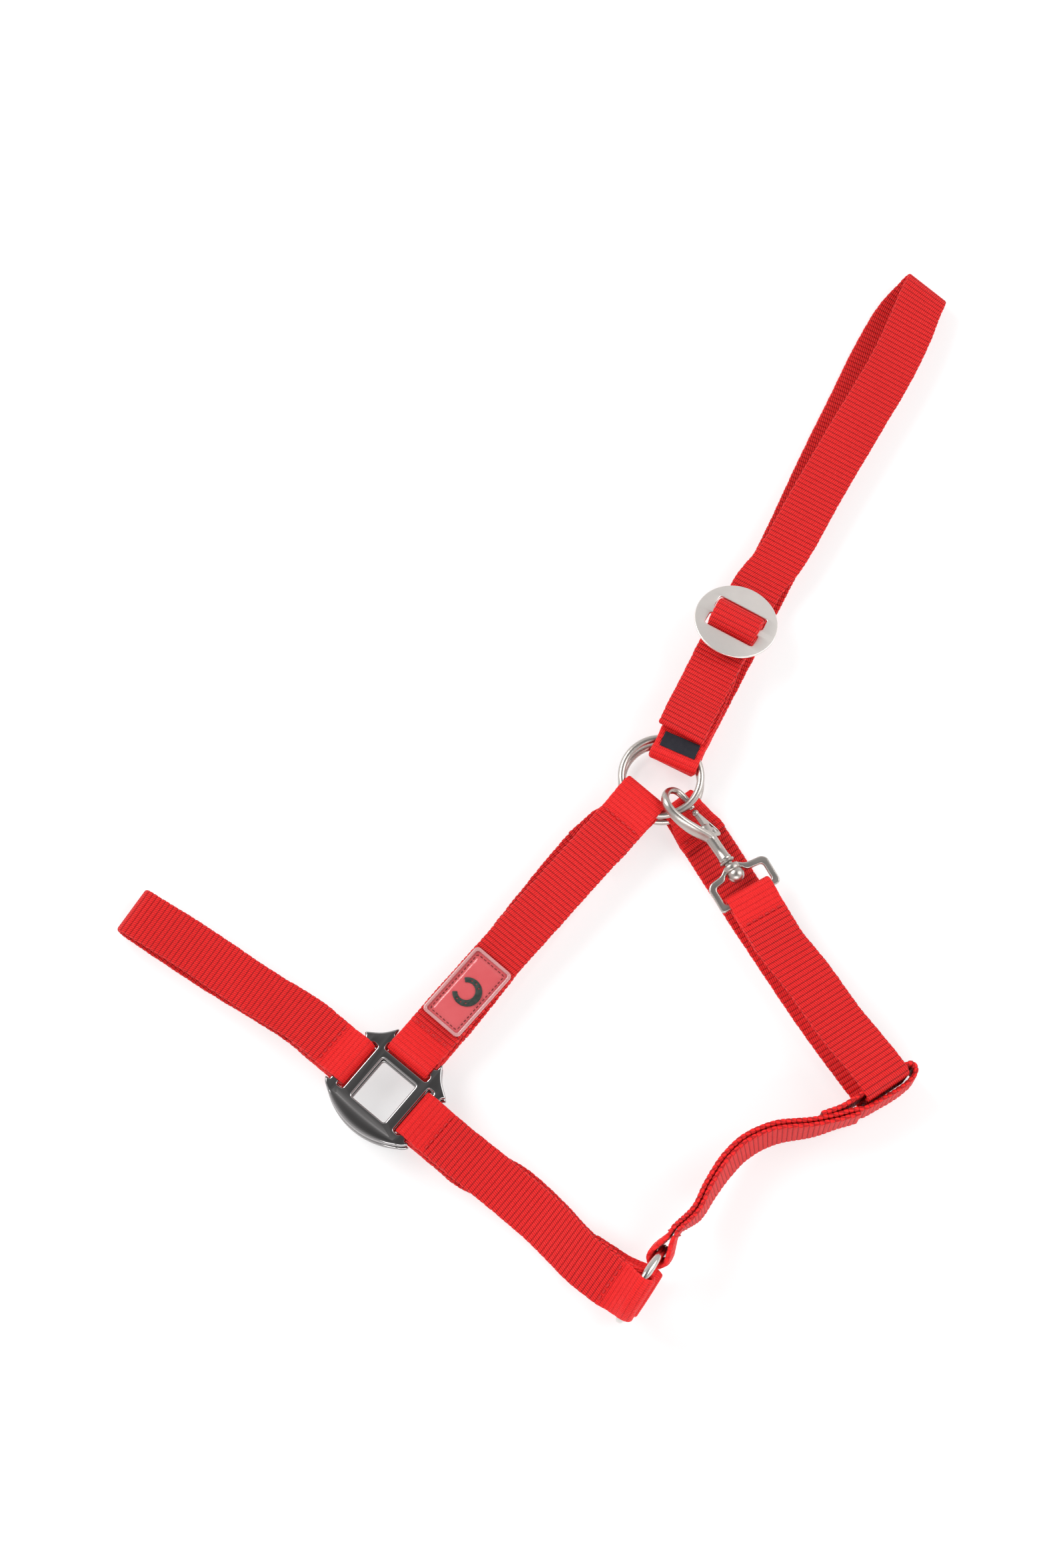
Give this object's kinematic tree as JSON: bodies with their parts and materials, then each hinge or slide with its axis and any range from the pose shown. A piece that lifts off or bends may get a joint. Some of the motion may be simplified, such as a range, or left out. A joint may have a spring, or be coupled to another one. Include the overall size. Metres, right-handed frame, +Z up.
{
  "type": "horse halter",
  "caption": "Flat nylon webbing horse halter lying on its off side, with cheek and lead rings, halter squares, crown adjuster disc and a sprung throat snap.",
  "frame": {"origin": "middle of the halter's bounding box, on the surface that it lies on", "axes": "+Z up, away from the surface; +Y towards the poll end of the crown strap, along the longest side; the nose points to -X and the chin to -Y"},
  "size_m": [0.4248, 0.5518, 0.0504],
  "materials": {
    "webbing": "ribbed nylon webbing, soft sheen",
    "thread": "bonded nylon thread",
    "satin_nickel": "satin nickel plate",
    "bright_nickel": "bright nickel plate",
    "dark_chrome": "mirror polished plate",
    "spring_steel": "plain spring steel",
    "clear_vinyl": "clear vinyl welded over red webbing",
    "emblem": "printed emblem, satin",
    "woven_label": "fine woven label"
  },
  "bodies": {
    "webbing": {"crown_strap": "webbing", "near_tab": "webbing", "noseband": "webbing", "near_cheek_strap": "webbing", "off_cheek_strap": "webbing", "near_chin_strap": "webbing", "off_chin_strap": "webbing", "throat_strap": "webbing", "connector_strap": "webbing", "stitching_crown_ring": "thread", "stitching_near_tab_disc": "thread", "stitching_near_tab_ring": "thread", "stitching_noseband_near": "thread", "stitching_noseband_off": "thread", "stitching_near_cheek_ring": "thread", "stitching_near_cheek_square": "thread", "stitching_off_cheek_ring": "thread", "stitching_off_cheek_square": "thread", "stitching_near_chin_square": "thread", "stitching_near_chin_ring": "thread", "stitching_off_chin_square": "thread", "stitching_off_chin_ring": "thread", "stitching_throat_ring": "thread", "stitching_throat_eye": "thread", "stitching_connector_ring": "thread", "near_square": "dark_chrome", "off_square": "dark_chrome", "badge_cover": "clear_vinyl", "badge_emblem": "emblem", "size_label": "woven_label"},
    "near_ring_body": {"near_ring": "satin_nickel"},
    "off_ring_body": {"off_ring": "satin_nickel"},
    "lead_ring_body": {"lead_ring": "bright_nickel"},
    "adjuster": {"adjuster_disc": "satin_nickel"},
    "eye": {"snap_eye": "satin_nickel"},
    "hook": {"snap_body": "satin_nickel", "gate_pin": "bright_nickel", "gate_spring": "spring_steel"},
    "gate": {"snap_gate": "satin_nickel"}
  },
  "joints": [
    {"name": "near_ring_spin", "type": "hinge", "parent": "webbing", "child": "near_ring_body", "pos_m": [0.06031, -0.00016, 0.01701], "axis": [0, 0, 1], "continuous": true},
    {"name": "off_ring_spin", "type": "hinge", "parent": "webbing", "child": "off_ring_body", "pos_m": [0.06071, -0.00046, 0.00511], "axis": [0, 0, 1], "continuous": true},
    {"name": "lead_ring_spin", "type": "hinge", "parent": "webbing", "child": "lead_ring_body", "pos_m": [0.04841, -0.25606, 0.02581], "axis": [0.8387, -0.5446, 0], "continuous": true},
    {"name": "adjuster_tilt", "type": "hinge", "parent": "webbing", "child": "adjuster", "pos_m": [0.09891, 0.08014, 0.02101], "axis": [0.8746, -0.4848, 0], "range_deg": [-2, 5]},
    {"name": "eye_pivot", "type": "hinge", "parent": "webbing", "child": "eye", "pos_m": [0.10451, -0.06056, 0.01351], "axis": [0.866, 0.5, 0], "range_deg": [-0.4, 0.8]},
    {"name": "hook_swivel", "type": "hinge", "parent": "eye", "child": "hook", "pos_m": [0.08111, -0.02536, 0.01351], "axis": [-0.5505, 0.8348, 0], "range_deg": [-3, 10]},
    {"name": "gate_swing", "type": "hinge", "parent": "hook", "child": "gate", "pos_m": [0.085, -0.02878, 0.01205], "axis": [0.6109, 0.4028, 0.6816], "range_deg": [0, 28], "stiffness_Nm_per_rad": 0.08, "springref_deg": -20.05, "deforming": ["gate_spring"]}
  ]
}
